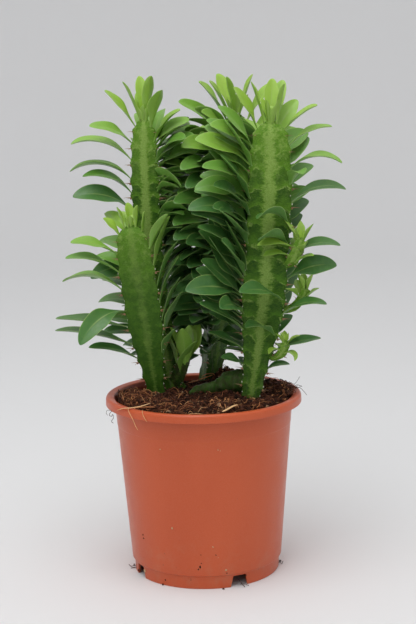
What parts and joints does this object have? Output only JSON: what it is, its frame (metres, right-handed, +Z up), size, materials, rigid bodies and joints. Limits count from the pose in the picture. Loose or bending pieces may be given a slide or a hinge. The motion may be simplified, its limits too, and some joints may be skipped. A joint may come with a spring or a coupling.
{
  "type": "potted euphorbia",
  "caption": "Milk-tree euphorbia: tall three-ribbed stems with paired thorns and spoon-shaped leaves, rooted in peat in a terracotta-coloured plastic nursery pot.",
  "frame": {"origin": "middle of the whole plant's box, seen from above, at the level of the pot's foot", "axes": "+Z up along the stems, -Y to the front that the picture shows, +X to the right there"},
  "size_m": [0.2412, 0.17, 0.4272],
  "materials": {
    "pot_plastic": "satin",
    "peat": "matte",
    "stem_skin": "satin",
    "leaf": "satin",
    "thorn": "satin",
    "coir_fibre": "matte"
  },
  "bodies": {
    "root": {"pot": "pot_plastic", "soil": "peat", "stem_front_right": "stem_skin", "stem_front_left": "stem_skin", "stem_back_right": "stem_skin", "stem_back_left": "stem_skin"}
  },
  "joints": []
}
